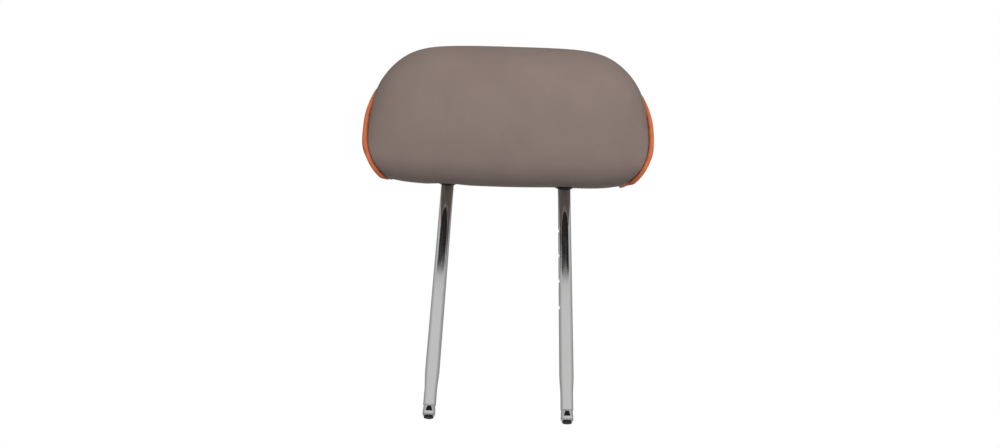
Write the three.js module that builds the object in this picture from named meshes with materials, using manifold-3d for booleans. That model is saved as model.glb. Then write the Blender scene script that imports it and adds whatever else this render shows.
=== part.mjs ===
// A car headrest: a padded cushion on one steel tube, bent to a U, whose two legs are the posts that
// slide in the seat back. Millimetres, +Z up along the posts, the face towards -Y, and the origin midway
// between the lower ends of the posts.
import * as THREE from "three";
import { mergeVertices } from "three/addons/utils/BufferGeometryUtils.js";
import Module from "manifold-3d";

const wasm = await Module();
wasm.setup();

// Post tube
const POST_SPACING = 118; // between the axes of the two posts
const POST_DIAMETER = 12.7;
const POST_WALL = 2;
const POST_REACH = 236; // from the post ends to the cushion's underside
const BEND_START = 12; // above the underside, where the legs lean forward
const BEND_RADIUS = 34;
const CORNER_RADIUS = 24;
const CROSSBAR_HEIGHT = 92; // up the cushion from its underside
const TUBE_SIDES = 16;

// Drawn-in lower end of each post
const TIP_DIAMETER = 11;
const TIP_LENGTH = 24;
const TIP_CONE = 18;
const CONE_EASING = 0.16; // share of the step left at a quarter of the cone, which rounds both of its ends
const RIM_HEIGHT = 7; // the rounded nose below the groove
const RIM_ROUNDING = 1.6;
const GROOVE_WIDTH = 1.6;
const GROOVE_DEPTH = 0.6;

// Height notches, on the inner side of the post at +X
const NOTCH_COUNT = 4;
const NOTCH_PITCH = 26.8;
const NOTCH_LOWEST = 107.6;
const NOTCH_DEPTH = 1.5;
const NOTCH_FLAT = 2.6;
const NOTCH_RAMP = 2.4;

// Plug in the mouth of each post
const PLUG_HEAD_DIAMETER = 8.4;
const PLUG_HEAD_HEIGHT = 1.6;
const PLUG_CHAMFER = 0.6;
const PLUG_DEPTH = 12;

// Cushion
const CUSHION_LEAN = THREE.MathUtils.degToRad(30); // forward of the posts
const CUSHION_HEIGHT = 136;
const FACE_DEPTH = 50; // from the post axes at the underside to the face
const BASE_THICKNESS = 104;
const TOP_THICKNESS = 74;
const WIDEST_HALF = 135.7; // half the width at the seams, where the cushion is widest
const WIDEST_HEIGHT = 69;
const BASE_HALF = 120;
const TOP_HALF = 128.7;
const SHOULDER_POWER = 2;
const FOOT_POWER = 2.5;
const FACE_BASE_RADIUS = 34;
const FACE_TOP_RADIUS = 34;
const REAR_TOP_RADIUS = 28;
const REAR_BASE_RADIUS = 18;
const FACE_CROWN = 4;
const REAR_CROWN = 3;
const BASE_THINNING = 0.16; // share of the thickness lost at the seams
const TOP_THINNING = 0.82;
const EDGE_POWER = 6.3; // the higher, the later the shoulders round over
const TOP_DROP = 46; // of the top at the seams
const BASE_RISE = 4; // of the underside at the seams
const BASE_POWER = 8;
const END_BULGE = 6;
const BULGE_POWER = 2.4;

// Cover
const COVER_THICKNESS = 2.5;
const PIPING_DIAMETER = 4.8;
const PIPING_OUT = 1.7; // of its centre from the seam, sideways
const PIPING_PROUD = 0.7; // of its centre from the cover's surface
const PIPING_SIDES = 8;
const SLOT_BACK = 23; // the closing slot, behind the post axes
const SLOT_WIDTH = 1;

// Closing strips, two hooked J profiles inside the slot
const STRIP_THICKNESS = 1.6;
const STRIP_HEIGHT = 7;
const STRIP_HALF_LENGTH = 84;

// Collars on the underside
const COLLAR_FLANGE_X = 17.6;
const COLLAR_FLANGE_Y = 20.4;
const COLLAR_FLANGE_THICKNESS = 1.2;
const COLLAR_WALL = 1.5;
const COLLAR_DEPTH = 9;

// Insert, two ribbed halves clamped round the tube
const INSERT_WIDTH = 170;
const INSERT_BASE = 40; // up the cushion
const INSERT_HEIGHT = 68;
const INSERT_DEPTH = 24;
const INSERT_CORNER = 10;
const INSERT_WALL = 2.2;
const INSERT_COLUMNS = 6;
const INSERT_ROWS = 2;

// Insert screws
const SCREW_DIAMETER = 3.5;
const SCREW_LENGTH = 17;
const SCREW_HEAD_DIAMETER = 7;
const SCREW_HEAD_HEIGHT = 2.2;
const SCREW_HEAD_CROWN = 0.7; // flat share of the head's radius
const SOCKET_DIAMETER = 2.8;
const SOCKET_DEPTH = 1;
const BOSS_DIAMETER = 9;
const CORNER_SCREW_INSET = 11; // from the insert's sides and its upper edge
const LOWER_SCREW_HEIGHT = 9; // above the insert's lower edge
const INNER_SCREW_ACROSS = 26;
const INNER_SCREW_HEIGHT = 20;

// Clearances
const SEAT_GAP = 0.3;
const FOAM_GAP = 0.4;

// What follows from them
const POST_RADIUS = POST_DIAMETER / 2;
const TIP_RADIUS = TIP_DIAMETER / 2;
const POST_START = PLUG_HEAD_HEIGHT + SEAT_GAP; // the steel starts above the plug's head
const EDGE_OF_ARC = 1 - Math.SQRT1_2; // how far the middle of a quarter round is from both of its flanks
const UP = new THREE.Vector3(0, 0, 1);
const ALONG_CUSHION = new THREE.Vector3(0, -Math.sin(CUSHION_LEAN), Math.cos(CUSHION_LEAN));
const BEND_TANGENT = BEND_RADIUS * Math.tan(CUSHION_LEAN / 2);
const BEND_HEIGHT = BEND_START + BEND_TANGENT; // of the meeting point of both axes, above the underside
const LEG_BACK = BEND_HEIGHT * Math.sin(CUSHION_LEAN); // of the bent legs, behind the cushion's origin
const LEG_FOOT = BEND_HEIGHT * Math.cos(CUSHION_LEAN);
const CORNER_SCREW_ACROSS = INSERT_WIDTH / 2 - CORNER_SCREW_INSET;
const SCREW_PLACES = [
  [-CORNER_SCREW_ACROSS, LOWER_SCREW_HEIGHT],
  [-INNER_SCREW_ACROSS, INNER_SCREW_HEIGHT],
  [INNER_SCREW_ACROSS, INNER_SCREW_HEIGHT],
  [CORNER_SCREW_ACROSS, LOWER_SCREW_HEIGHT],
  [-CORNER_SCREW_ACROSS, INSERT_HEIGHT - CORNER_SCREW_INSET],
  [CORNER_SCREW_ACROSS, INSERT_HEIGHT - CORNER_SCREW_INSET],
]; // across, and up from the insert's lower edge

const materials = {
  chrome: new THREE.MeshStandardMaterial({ color: "#d9d8d5", roughness: 0.08, metalness: 1 }),
  blackPlastic: new THREE.MeshStandardMaterial({ color: "#1b1a19", roughness: 0.5, metalness: 0 }),
  greyPlastic: new THREE.MeshStandardMaterial({ color: "#5a5c5e", roughness: 0.55, metalness: 0 }),
  leather: new THREE.MeshStandardMaterial({ color: "#8a7b74", roughness: 0.55, metalness: 0 }),
  piping: new THREE.MeshStandardMaterial({ color: "#d27149", roughness: 0.5, metalness: 0 }),
  foam: new THREE.MeshStandardMaterial({ color: "#d8cfae", roughness: 0.95, metalness: 0 }),
  steel: new THREE.MeshStandardMaterial({ color: "#9a9ca0", roughness: 0.35, metalness: 1 }),
};

function solidOf(geometry) {
  const bare = geometry.clone();
  bare.deleteAttribute("normal");
  bare.deleteAttribute("uv");
  const merged = mergeVertices(bare, 1e-4);
  return new wasm.Manifold(
    new wasm.Mesh({
      numProp: 3,
      vertProperties: merged.attributes.position.array,
      triVerts: new Uint32Array(merged.index.array),
    }),
  );
}

function geometryOf(solid) {
  const mesh = solid.getMesh();
  const geometry = new THREE.BufferGeometry();
  geometry.setAttribute("position", new THREE.BufferAttribute(mesh.vertProperties, 3));
  geometry.setIndex(new THREE.BufferAttribute(mesh.triVerts, 1));
  return geometry;
}

function cut(geometry, tools) {
  return geometryOf(tools.reduce((left, tool) => left.subtract(solidOf(tool)), solidOf(geometry)));
}

function join(geometries) {
  return geometryOf(geometries.map(solidOf).reduce((whole, next) => whole.add(next)));
}

// Gives a closed mesh of points and triangles, turned so that its faces point out.
function closedMesh(points, index) {
  let volume = 0;
  for (let i = 0; i < index.length; i += 3) {
    const [a, b, c] = [points[index[i]], points[index[i + 1]], points[index[i + 2]]];
    volume += a.dot(new THREE.Vector3().crossVectors(b, c));
  }
  const geometry = new THREE.BufferGeometry().setFromPoints(points);
  geometry.setIndex(volume < 0 ? index.toReversed() : index);
  return geometry;
}

// A solid through a row of rings with the same number of points: capped at both ends, or joined in a loop.
function loft(rings, looped = false) {
  const sides = rings[0].length;
  const points = rings.flat();
  const index = [];
  const bands = looped ? rings.length : rings.length - 1;
  for (let i = 0; i < bands; i++) {
    const here = i * sides;
    const next = ((i + 1) % rings.length) * sides;
    for (let j = 0; j < sides; j++) {
      const k = (j + 1) % sides;
      index.push(here + j, here + k, next + k, here + j, next + k, next + j);
    }
  }
  if (!looped) {
    for (const ring of [0, rings.length - 1]) {
      const centre = new THREE.Vector3();
      rings[ring].forEach((p) => centre.addScaledVector(p, 1 / sides));
      points.push(centre);
      for (let j = 0; j < sides; j++) {
        const edge = [ring * sides + j, ring * sides + ((j + 1) % sides)];
        if (ring === 0) edge.reverse();
        index.push(edge[0], edge[1], points.length - 1);
      }
    }
  }
  return closedMesh(points, index);
}

// A sheet of even thickness: its face, its back, and the four edges between them.
function sheet(face, back) {
  const rows = face.length;
  const columns = face[0].length;
  const index = [];
  const at = (side, i, j) => (side * rows + i) * columns + j;
  const quad = (a, b, c, d) => index.push(a, b, c, a, c, d);
  for (let i = 0; i < rows - 1; i++) {
    for (let j = 0; j < columns - 1; j++) {
      quad(at(0, i, j), at(0, i, j + 1), at(0, i + 1, j + 1), at(0, i + 1, j));
      quad(at(1, i, j), at(1, i + 1, j), at(1, i + 1, j + 1), at(1, i, j + 1));
    }
  }
  for (let j = 0; j < columns - 1; j++) {
    quad(at(0, 0, j), at(1, 0, j), at(1, 0, j + 1), at(0, 0, j + 1));
    quad(at(0, rows - 1, j), at(0, rows - 1, j + 1), at(1, rows - 1, j + 1), at(1, rows - 1, j));
  }
  for (let i = 0; i < rows - 1; i++) {
    quad(at(0, i, 0), at(0, i + 1, 0), at(1, i + 1, 0), at(1, i, 0));
    quad(
      at(0, i, columns - 1),
      at(1, i, columns - 1),
      at(1, i + 1, columns - 1),
      at(0, i + 1, columns - 1),
    );
  }
  return closedMesh([...face.flat(), ...back.flat()], index);
}

// A ring round a path: the frame is carried along the path, so that it never twists.
function ringsAlong(stations, sides = TUBE_SIDES) {
  const rings = [];
  let side = new THREE.Vector3(1, 0, 0);
  stations.forEach(({ point, radius }, i) => {
    const before = stations[Math.max(i - 1, 0)].point;
    const after = stations[Math.min(i + 1, stations.length - 1)].point;
    const along = new THREE.Vector3().subVectors(after, before).normalize();
    side = side.clone().addScaledVector(along, -side.dot(along)).normalize();
    const across = new THREE.Vector3().crossVectors(along, side);
    const ring = [];
    for (let j = 0; j < sides; j++) {
      const turn = (2 * Math.PI * (j + 0.5)) / sides;
      ring.push(
        point
          .clone()
          .addScaledVector(side, radius * Math.cos(turn))
          .addScaledVector(across, radius * Math.sin(turn)),
      );
    }
    rings.push(ring);
  });
  return rings;
}

function cylinder(radius, from, to, sides = 24) {
  const geometry = new THREE.CylinderGeometry(radius, radius, to - from, sides);
  return geometry.rotateX(Math.PI / 2).translate(0, 0, (from + to) / 2);
}

// An arc of the tube's axis, from the point where it leaves one straight to where it meets the next.
function bend(corner, from, to, tangent, steps) {
  const start = corner.clone().addScaledVector(from, -tangent);
  const end = corner.clone().addScaledVector(to, tangent);
  const half = from.angleTo(to) / 2;
  const radius = tangent / Math.tan(half);
  const inward = to.clone().sub(from).normalize();
  const centre = corner.clone().addScaledVector(inward, radius / Math.cos(half));
  const spoke = start.clone().sub(centre);
  const axis = new THREE.Vector3().crossVectors(from, to).normalize();
  const points = [start];
  for (let i = 1; i < steps; i++) {
    points.push(centre.clone().add(spoke.clone().applyAxisAngle(axis, (2 * half * i) / steps)));
  }
  return [...points, end];
}

// The axis of one leg above its drawn-in end, up to the middle of the crossbar, for the leg at +X.
function legAxis() {
  const x = POST_SPACING / 2;
  const lower = new THREE.Vector3(x, 0, POST_REACH + BEND_HEIGHT);
  const rise = CROSSBAR_HEIGHT - LEG_FOOT;
  const upper = lower.clone().addScaledVector(ALONG_CUSHION, rise);
  const inward = new THREE.Vector3(-1, 0, 0);
  return [
    ...bend(lower, UP, ALONG_CUSHION, BEND_TANGENT, 4),
    ...bend(upper, ALONG_CUSHION, inward, CORNER_RADIUS, 6),
  ];
}

// Heights and radii of the drawn-in end, from the mouth up to the full tube.
function tipOutline() {
  const grooveRadius = TIP_RADIUS - GROOVE_DEPTH;
  const easing = (POST_RADIUS - TIP_RADIUS) * CONE_EASING;
  return [
    [POST_START, TIP_RADIUS - RIM_ROUNDING],
    [POST_START + RIM_ROUNDING * EDGE_OF_ARC, TIP_RADIUS - RIM_ROUNDING * EDGE_OF_ARC],
    [POST_START + RIM_ROUNDING, TIP_RADIUS],
    [POST_START + RIM_HEIGHT, TIP_RADIUS],
    [POST_START + RIM_HEIGHT + GROOVE_DEPTH, grooveRadius],
    [POST_START + RIM_HEIGHT + GROOVE_WIDTH, grooveRadius],
    [POST_START + RIM_HEIGHT + GROOVE_WIDTH + GROOVE_DEPTH, TIP_RADIUS],
    [TIP_LENGTH, TIP_RADIUS],
    [TIP_LENGTH + TIP_CONE / 4, TIP_RADIUS + easing],
    [TIP_LENGTH + (TIP_CONE * 3) / 4, POST_RADIUS - easing],
    [TIP_LENGTH + TIP_CONE, POST_RADIUS],
  ];
}

function boreOutline() {
  return [
    [POST_START, TIP_RADIUS - POST_WALL],
    [TIP_LENGTH, TIP_RADIUS - POST_WALL],
    [TIP_LENGTH + TIP_CONE, POST_RADIUS - POST_WALL],
  ];
}

// Both legs and the crossbar, from one mouth to the other.
function tubeStations(endOutline, radius) {
  const x = POST_SPACING / 2;
  const right = [
    ...endOutline.map(([z, r]) => ({ point: new THREE.Vector3(x, 0, z), radius: r })),
    ...legAxis().map((point) => ({ point, radius })),
  ];
  const left = right.map(({ point, radius: r }) => ({
    point: new THREE.Vector3(-point.x, point.y, point.z),
    radius: r,
  }));
  return [...right, ...left.toReversed()];
}

function notch(z) {
  const wall = POST_SPACING / 2 - POST_RADIUS;
  const shape = new THREE.Shape();
  shape.moveTo(wall - POST_RADIUS, z);
  shape.lineTo(wall + NOTCH_DEPTH, z);
  shape.lineTo(wall + NOTCH_DEPTH, z - NOTCH_FLAT);
  shape.lineTo(wall, z - NOTCH_FLAT - NOTCH_RAMP);
  shape.lineTo(wall - POST_RADIUS, z - NOTCH_FLAT - NOTCH_RAMP);
  const geometry = new THREE.ExtrudeGeometry(shape, { depth: POST_DIAMETER, bevelEnabled: false });
  return geometry.rotateX(Math.PI / 2).translate(0, POST_RADIUS, 0);
}

function postFrame() {
  const outside = ringsAlong(tubeStations(tipOutline(), POST_RADIUS));
  const inside = ringsAlong(tubeStations(boreOutline(), POST_RADIUS - POST_WALL));
  const notches = [];
  for (let i = 0; i < NOTCH_COUNT; i++) notches.push(notch(NOTCH_LOWEST + i * NOTCH_PITCH));
  return cut(loft([...outside, ...inside.toReversed()], true), notches);
}

// The room that the tube takes, with a clearance all round, seen from the cushion's own frame.
function tubeRoom(clearance) {
  const radius = POST_RADIUS + clearance;
  const ends = [[POST_REACH - 2 * BASE_THICKNESS * Math.sin(CUSHION_LEAN), radius]];
  return loft(ringsAlong(tubeStations(ends, radius))).applyMatrix4(cushion.matrix.clone().invert());
}

function endPlug() {
  const headRadius = PLUG_HEAD_DIAMETER / 2;
  const shankRadius = TIP_RADIUS - POST_WALL - SEAT_GAP;
  const outline = [
    [0, 0],
    [headRadius - PLUG_CHAMFER, 0],
    [headRadius, PLUG_CHAMFER],
    [headRadius, PLUG_HEAD_HEIGHT],
    [shankRadius, PLUG_HEAD_HEIGHT],
    [shankRadius, PLUG_DEPTH - PLUG_CHAMFER],
    [shankRadius - PLUG_CHAMFER, PLUG_DEPTH],
    [0, PLUG_DEPTH],
  ];
  const profile = outline.map(([r, z]) => new THREE.Vector2(r, z));
  return new THREE.LatheGeometry(profile, 16).rotateX(Math.PI / 2);
}

// The cushion's own frame: X across, Y towards its back and Z up its face, from where the posts enter.
const cushion = new THREE.Group();
cushion.position.z = POST_REACH;
cushion.rotation.x = CUSHION_LEAN;
cushion.updateMatrix();

const rearNormal = new THREE.Vector2(CUSHION_HEIGHT, BASE_THICKNESS - TOP_THICKNESS).normalize();
const rearBase = BASE_THICKNESS - FACE_DEPTH;

function rearAt(height) {
  return rearBase - ((BASE_THICKNESS - TOP_THICKNESS) * height) / CUSHION_HEIGHT;
}

// Side view of the cushion at mid-width, from the slot forward, up the face and back down the rear.
function sideOutline() {
  const roundCentre = (height, radius) =>
    rearBase - (radius + rearNormal.y * height) / rearNormal.x;
  const rearTurn = rearNormal.angle();
  const topCentre = CUSHION_HEIGHT - REAR_TOP_RADIUS;
  const path = new THREE.Path();
  path.moveTo(SLOT_BACK - SLOT_WIDTH / 2, 0);
  path.lineTo(FACE_BASE_RADIUS - FACE_DEPTH, 0);
  path.absarc(
    FACE_BASE_RADIUS - FACE_DEPTH,
    FACE_BASE_RADIUS,
    FACE_BASE_RADIUS,
    -Math.PI / 2,
    -Math.PI,
    true,
  );
  path.quadraticCurveTo(
    -FACE_DEPTH - 2 * FACE_CROWN,
    (FACE_BASE_RADIUS + CUSHION_HEIGHT - FACE_TOP_RADIUS) / 2,
    -FACE_DEPTH,
    CUSHION_HEIGHT - FACE_TOP_RADIUS,
  );
  path.absarc(
    FACE_TOP_RADIUS - FACE_DEPTH,
    CUSHION_HEIGHT - FACE_TOP_RADIUS,
    FACE_TOP_RADIUS,
    Math.PI,
    Math.PI / 2,
    true,
  );
  path.absarc(
    roundCentre(topCentre, REAR_TOP_RADIUS),
    topCentre,
    REAR_TOP_RADIUS,
    Math.PI / 2,
    rearTurn,
    true,
  );
  const from = path.currentPoint;
  const baseCentre = new THREE.Vector2(
    roundCentre(REAR_BASE_RADIUS, REAR_BASE_RADIUS),
    REAR_BASE_RADIUS,
  );
  const to = baseCentre.clone().addScaledVector(rearNormal, REAR_BASE_RADIUS);
  const control = from.clone().add(to).multiplyScalar(0.5).addScaledVector(rearNormal, 2 * REAR_CROWN);
  path.quadraticCurveTo(control.x, control.y, to.x, to.y);
  path.absarc(baseCentre.x, baseCentre.y, REAR_BASE_RADIUS, rearTurn, -Math.PI / 2, true);
  path.lineTo(SLOT_BACK + SLOT_WIDTH / 2, 0);
  return path.getPoints(3);
}

// Half the width at the seams, at a height up the cushion.
function halfWidth(height) {
  if (height > WIDEST_HEIGHT) {
    const up = (height - WIDEST_HEIGHT) / (CUSHION_HEIGHT - WIDEST_HEIGHT);
    return WIDEST_HALF - (WIDEST_HALF - TOP_HALF) * up ** SHOULDER_POWER;
  }
  const down = (WIDEST_HEIGHT - height) / WIDEST_HEIGHT;
  return WIDEST_HALF - (WIDEST_HALF - BASE_HALF) * down ** FOOT_POWER;
}

// Draws a point of the side view in towards the middle, as the cushion does between middle and seam.
function drawnIn(point, across) {
  const height = point.y / CUSHION_HEIGHT;
  const middle = (rearAt(point.y) - FACE_DEPTH) / 2;
  const edge = Math.abs(across) ** EDGE_POWER;
  const thinning = BASE_THINNING + (TOP_THINNING - BASE_THINNING) * height ** 2;
  const back = middle + (point.x - middle) * (1 - thinning * edge);
  const rise = BASE_RISE * Math.abs(across) ** BASE_POWER * (1 - height);
  return new THREE.Vector2(back, point.y - TOP_DROP * edge * height + rise);
}

// A point of the wrapped panel: across runs from -1 at one seam to 1 at the other.
function wrapPoint(point, across) {
  const drawn = drawnIn(point, across);
  return new THREE.Vector3(across * halfWidth(point.y), drawn.x, drawn.y);
}

const sideView = sideOutline();
const PANEL_EDGE = 1 - (PIPING_DIAMETER / 2 + 2 * SEAT_GAP - PIPING_OUT) / WIDEST_HALF;
const TO_EDGE = [0.55, 0.71, 0.81, 0.88, 0.93, 0.97, PANEL_EDGE];
const ACROSS = [...TO_EDGE.map((across) => -across).toReversed(), 0, ...TO_EDGE];

// The wrapped panel's surface, moved inwards by a depth along its own normal.
function wrapGrid(depth) {
  const grid = sideView.map((point) => ACROSS.map((across) => wrapPoint(point, across)));
  const last = sideView.length - 1;
  return grid.map((row, i) =>
    row.map((point, j) => {
      const round = grid[Math.min(i + 1, last)][j].clone().sub(grid[Math.max(i - 1, 0)][j]);
      const across = row[Math.min(j + 1, row.length - 1)].clone().sub(row[Math.max(j - 1, 0)]);
      const inward = new THREE.Vector3().crossVectors(round, across).normalize();
      return point.clone().addScaledVector(inward, depth);
    }),
  );
}

// The seam at +X, and its ways out of the cushion, square to the seam.
const seam = sideView.map((point) => wrapPoint(point, 1));
const seamOut = seam.map((_, i) => {
  const along = seam[Math.min(i + 1, seam.length - 1)].clone().sub(seam[Math.max(i - 1, 0)]);
  return new THREE.Vector3(1, 0, 0).cross(along).normalize();
});

// The end panel's rim at +X, below the piping, and the middle of the panel.
const rimDepth = PIPING_DIAMETER / 2 + SEAT_GAP - PIPING_PROUD;
const rim = seam.map((point, i) => point.clone().addScaledVector(seamOut[i], -rimDepth)).slice(0, -1);
const rimMiddle = rim.reduce((sum, p) => sum.addScaledVector(p, 1 / rim.length), new THREE.Vector3());
const SPREADS = [1, 0.9, 0.7, 0.42, 0.14];

// A ring of the end panel at +X: spread runs from 0 at its middle to 1 at its rim.
function endRing(spread, outward) {
  return rim.map((point, i) => {
    const { y, z } = rimMiddle.clone().lerp(point, spread);
    const height = THREE.MathUtils.lerp(CUSHION_HEIGHT / 2, sideView[i].y, spread);
    const bulge = END_BULGE * (1 - spread ** BULGE_POWER);
    return new THREE.Vector3(halfWidth(height) + bulge + outward, y, z);
  });
}

// The cord of the piping, laid between both panels' edges, from one side of the slot to the other.
function piping() {
  const stations = seam.map((point, i) => {
    const centre = point.clone().addScaledVector(seamOut[i], PIPING_PROUD);
    centre.x += PIPING_OUT;
    return { point: centre, radius: PIPING_DIAMETER / 2 };
  });
  return loft(ringsAlong(stations, PIPING_SIDES));
}

function mirrored(geometry) {
  const copy = geometry.clone().scale(-1, 1, 1);
  const index = copy.index ? Array.from(copy.index.array) : [...Array(copy.attributes.position.count).keys()];
  copy.setIndex(index.toReversed());
  return copy;
}

// A tool along the post that enters the cushion at one side, in the cushion's frame.
function alongPost(geometry, side) {
  return geometry.rotateX(-CUSHION_LEAN).translate((side * POST_SPACING) / 2, 0, 0);
}

function sleeveRoom(side, clearance) {
  const radius = POST_RADIUS + SEAT_GAP + COLLAR_WALL + clearance;
  return alongPost(cylinder(radius, -COLLAR_FLANGE_Y, COLLAR_DEPTH + clearance), side);
}

function coverMainPanel() {
  const panel = sheet(wrapGrid(0), wrapGrid(COVER_THICKNESS));
  return cut(panel, [sleeveRoom(-1, SEAT_GAP), sleeveRoom(1, SEAT_GAP)]);
}

function coverEnd() {
  const face = SPREADS.map((spread) => endRing(spread, SEAT_GAP + COVER_THICKNESS));
  const back = SPREADS.map((spread) => endRing(spread, SEAT_GAP));
  return loft([...face.toReversed(), ...back]);
}

function insertOutline(clearance) {
  const half = INSERT_WIDTH / 2 + clearance;
  const low = INSERT_BASE - clearance;
  const high = INSERT_BASE + INSERT_HEIGHT + clearance;
  const r = INSERT_CORNER;
  const shape = new THREE.Shape();
  shape.absarc(half - r, low + r, r, -Math.PI / 2, 0);
  shape.absarc(half - r, high - r, r, 0, Math.PI / 2);
  shape.absarc(-half + r, high - r, r, Math.PI / 2, Math.PI);
  shape.absarc(-half + r, low + r, r, Math.PI, (3 * Math.PI) / 2);
  return shape;
}

// A block of the insert's outline between two depths behind the leg plane.
function insertBlock(from, to, clearance = 0) {
  const block = new THREE.ExtrudeGeometry(insertOutline(clearance), {
    depth: to - from,
    bevelEnabled: false,
    curveSegments: 4,
  });
  return block.rotateX(Math.PI / 2).translate(0, LEG_BACK + to, 0);
}

function screwPoints() {
  return SCREW_PLACES.map(([x, up]) => new THREE.Vector3(x, 0, INSERT_BASE + up));
}

// A bar through the insert at a screw, between two depths behind the leg plane.
function screwBar({ x, z }, diameter, from, to) {
  const bar = new THREE.CylinderGeometry(diameter / 2, diameter / 2, to - from, 12);
  return bar.translate(x, LEG_BACK + (from + to) / 2, z);
}

// One half of the insert: side is -1 for the front half and 1 for the rear half.
function insertHalf(side) {
  const parting = SEAT_GAP / 2;
  const outer = INSERT_DEPTH / 2;
  const span = (a, b) => (side > 0 ? [a, b] : [-b, -a]);
  const pockets = [];
  const columnWidth = (INSERT_WIDTH - INSERT_WALL) / INSERT_COLUMNS;
  const rowHeight = (INSERT_HEIGHT - INSERT_WALL) / INSERT_ROWS;
  const depth = outer - INSERT_WALL;
  for (let column = 0; column < INSERT_COLUMNS; column++) {
    for (let row = 0; row < INSERT_ROWS; row++) {
      const pocket = new THREE.BoxGeometry(
        columnWidth - INSERT_WALL,
        depth,
        rowHeight - INSERT_WALL,
      );
      pocket.translate(
        (INSERT_WALL - INSERT_WIDTH) / 2 + (column + 0.5) * columnWidth,
        LEG_BACK + (side * depth) / 2,
        INSERT_BASE + INSERT_WALL / 2 + (row + 0.5) * rowHeight,
      );
      pockets.push(pocket);
    }
  }
  const corners = insertBlock(...span(parting, outer));
  const rim = cut(corners, [insertCore(side, depth)]);
  const ribbed = cut(corners, pockets);
  const bosses = screwPoints().map((p) => screwBar(p, BOSS_DIAMETER, ...span(parting, depth + 1)));
  const body = join([rim, ribbed, ...bosses]);
  const holes = screwPoints().flatMap((p) => {
    const shank = SCREW_DIAMETER + 2 * SEAT_GAP;
    const bottom = SCREW_LENGTH - outer + SCREW_HEAD_HEIGHT + 2 * SEAT_GAP;
    if (side < 0) return [screwBar(p, shank, -bottom, 0)];
    const seat = outer - SCREW_HEAD_HEIGHT - SEAT_GAP;
    return [
      screwBar(p, shank, 0, outer),
      screwBar(p, SCREW_HEAD_DIAMETER + 2 * SEAT_GAP, seat - SEAT_GAP, outer + 1),
    ];
  });
  return cut(body, [tubeRoom(SEAT_GAP), ...holes]);
}

// The hollow of one half without its ribs, with the same round corners as the outline.
function insertCore(side, depth) {
  const core = insertBlock(0, depth, -INSERT_WALL);
  return side > 0 ? core : core.translate(0, -depth, 0);
}

function screw() {
  const head = SCREW_HEAD_DIAMETER / 2;
  const shank = SCREW_DIAMETER / 2;
  const outline = [
    [0, 0],
    [head * SCREW_HEAD_CROWN, 0],
    [head, SCREW_HEAD_HEIGHT / 2],
    [head, SCREW_HEAD_HEIGHT],
    [shank, SCREW_HEAD_HEIGHT],
    [shank, SCREW_HEAD_HEIGHT + SCREW_LENGTH - SCREW_DIAMETER],
    [0, SCREW_HEAD_HEIGHT + SCREW_LENGTH],
  ];
  const profile = outline.map(([r, y]) => new THREE.Vector2(r, y));
  const socket = new THREE.CylinderGeometry(SOCKET_DIAMETER / 2, SOCKET_DIAMETER / 2, 2 * SOCKET_DEPTH, 6);
  return cut(new THREE.LatheGeometry(profile, 10), [socket]);
}

function foamCore() {
  const grid = wrapGrid(COVER_THICKNESS + FOAM_GAP).slice(0, -1);
  const everyOther = ACROSS.map((_, j) => j).filter((j) => j % 2 === 0);
  const rings = everyOther.map((j) => grid.map((row) => row[j]));
  const domes = SPREADS.slice(1).map((spread) => endRing(spread, -SEAT_GAP));
  const otherDomes = domes.map((ring) => ring.map((p) => new THREE.Vector3(-p.x, p.y, p.z)));
  const body = loft([...otherDomes.toReversed(), ...rings, ...domes]);
  const outer = INSERT_DEPTH / 2 + FOAM_GAP;
  return cut(body, [
    insertBlock(-outer, outer, FOAM_GAP),
    tubeRoom(FOAM_GAP),
    sleeveRoom(-1, SEAT_GAP),
    sleeveRoom(1, SEAT_GAP),
    stripRoom(),
  ]);
}

const STRIP_BASE = COVER_THICKNESS + SEAT_GAP + SEAT_GAP;
const STRIP_LIP_GAP = STRIP_THICKNESS + 2 * SEAT_GAP; // the channel that the other strip's lip hooks into

// One strip in side view, with its own hook: a J that opens upwards.
function stripShape() {
  const t = STRIP_THICKNESS;
  const shape = new THREE.Shape();
  shape.moveTo(0, 0);
  shape.lineTo(2 * t + STRIP_LIP_GAP, 0);
  shape.lineTo(2 * t + STRIP_LIP_GAP, STRIP_HEIGHT - t - SEAT_GAP);
  shape.lineTo(t + STRIP_LIP_GAP, STRIP_HEIGHT - t - SEAT_GAP);
  shape.lineTo(t + STRIP_LIP_GAP, t);
  shape.lineTo(t, t);
  shape.lineTo(t, STRIP_HEIGHT);
  shape.lineTo(0, STRIP_HEIGHT);
  return shape;
}

function strip() {
  const geometry = new THREE.ExtrudeGeometry(stripShape(), {
    depth: 2 * STRIP_HALF_LENGTH,
    bevelEnabled: false,
  });
  geometry.translate(0, 0, -STRIP_HALF_LENGTH).rotateX(Math.PI / 2).rotateZ(Math.PI / 2);
  return geometry;
}

const STRIP_HOOKED = 4 * STRIP_THICKNESS + 3 * SEAT_GAP; // across both strips, hooked together

function closureStripFront() {
  return strip().translate(0, SLOT_BACK - STRIP_HOOKED / 2, STRIP_BASE);
}

// The rear strip is the same profile turned half round its length, so that its lip hooks over the front one.
function closureStripRear() {
  const turned = strip().rotateX(Math.PI);
  return turned.translate(0, SLOT_BACK + STRIP_HOOKED / 2, STRIP_BASE + STRIP_HEIGHT);
}

function stripRoom() {
  const height = STRIP_BASE + STRIP_HEIGHT + SEAT_GAP;
  const room = new THREE.BoxGeometry(
    2 * (STRIP_HALF_LENGTH + SEAT_GAP),
    STRIP_HOOKED + 2 * SEAT_GAP,
    height,
  );
  return room.translate(0, SLOT_BACK, height / 2);
}

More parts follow.
